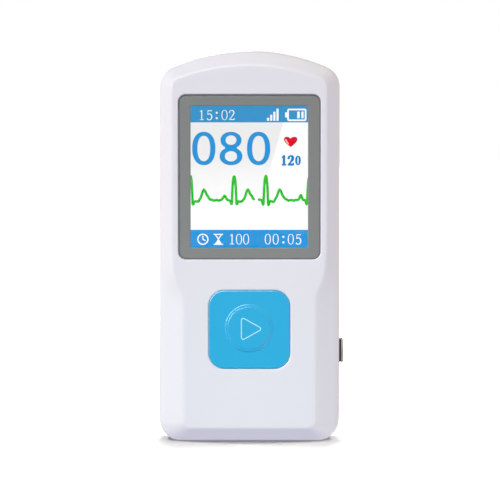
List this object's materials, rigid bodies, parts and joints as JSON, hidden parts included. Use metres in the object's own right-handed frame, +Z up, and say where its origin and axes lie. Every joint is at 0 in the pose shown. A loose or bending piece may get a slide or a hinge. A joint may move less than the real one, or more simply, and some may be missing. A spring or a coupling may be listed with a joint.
{
  "type": "ecg home monitor",
  "caption": "Slim handheld home ECG monitor with an arched top, colour display, large square measuring key, side power key and stainless contact plates on its back.",
  "frame": {"origin": "middle of the flat bottom end that the case stands on, on the parting plane between the front and rear shells", "axes": "+Z up along the case towards the arched top, +Y from the display towards the back, so the display faces -Y, and +X to the user's right, the side of the power key"},
  "size_m": [0.046, 0.0153, 0.0968],
  "materials": {
    "shell_white": "glossy white moulded ABS",
    "bezel_grey": "satin grey moulded plastic",
    "window_clear": "clear hard-coated lens",
    "lcd_panel": "lit display glass",
    "backlight_white": "white moulded frame",
    "key_blue": "glossy sky-blue moulded key",
    "key_metal": "warm grey metallised key",
    "steel": "brushed stainless steel",
    "screw_steel": "plated steel",
    "board_green": "green solder mask",
    "chip_black": "black epoxy",
    "part_tan": "ceramic chip parts",
    "shield_tin": "tinned shield can",
    "plastic_black": "black moulded nylon",
    "plastic_ivory": "ivory moulded nylon",
    "foam_black": "closed-cell foam",
    "flex_amber": "amber polyimide ribbon",
    "cell_foil": "laminated foil pouch",
    "lead_red": "red insulation",
    "lead_black": "black insulation",
    "gold": "gold-plated brass",
    "label_grey": "satin polyester film, blank"
  },
  "bodies": {
    "housing": {"front_cover": "shell_white", "rear_cover": "shell_white", "display_bezel": "bezel_grey", "display_window": "window_clear", "bezel_tape": "foam_black", "lcd_gasket": "foam_black", "lcd_glass": "lcd_panel", "lcd_backlight": "backlight_white", "lcd_flex": "flex_amber", "lcd_connector": "plastic_ivory", "main_board": "board_green", "processor_chip": "chip_black", "ecg_chip": "chip_black", "memory_chip": "chip_black", "charger_chip": "chip_black", "crystal": "shield_tin", "radio_module": "shield_tin", "board_passives": "part_tan", "buzzer": "plastic_black", "measure_switch": "plastic_black", "power_switch": "plastic_black", "battery": "cell_foil", "battery_pad": "foam_black", "battery_connector": "plastic_ivory", "battery_lead_red": "lead_red", "battery_lead_black": "lead_black", "usb_shell": "steel", "usb_tongue": "plastic_black", "upper_electrode": "steel", "upper_contact_pin": "gold", "lower_electrode": "steel", "lower_contact_pin": "gold", "electrode_push_nuts": "screw_steel", "blank_label": "label_grey", "case_screws": "screw_steel", "board_screws": "screw_steel"},
    "measure_button": {"measure_key": "key_blue", "measure_switch_plunger": "plastic_ivory"},
    "power_button": {"power_key": "key_metal", "power_switch_plunger": "plastic_ivory"}
  },
  "joints": [
    {"name": "measure_button_press", "type": "slide", "parent": "housing", "child": "measure_button", "axis": [0, 1, 0], "range_m": [0, 0.00035], "stiffness_N_per_m": 800, "springref_m": -0.001},
    {"name": "power_button_press", "type": "slide", "parent": "housing", "child": "power_button", "axis": [-1, 0, 0], "range_m": [0, 0.00035], "stiffness_N_per_m": 800, "springref_m": -0.001}
  ]
}
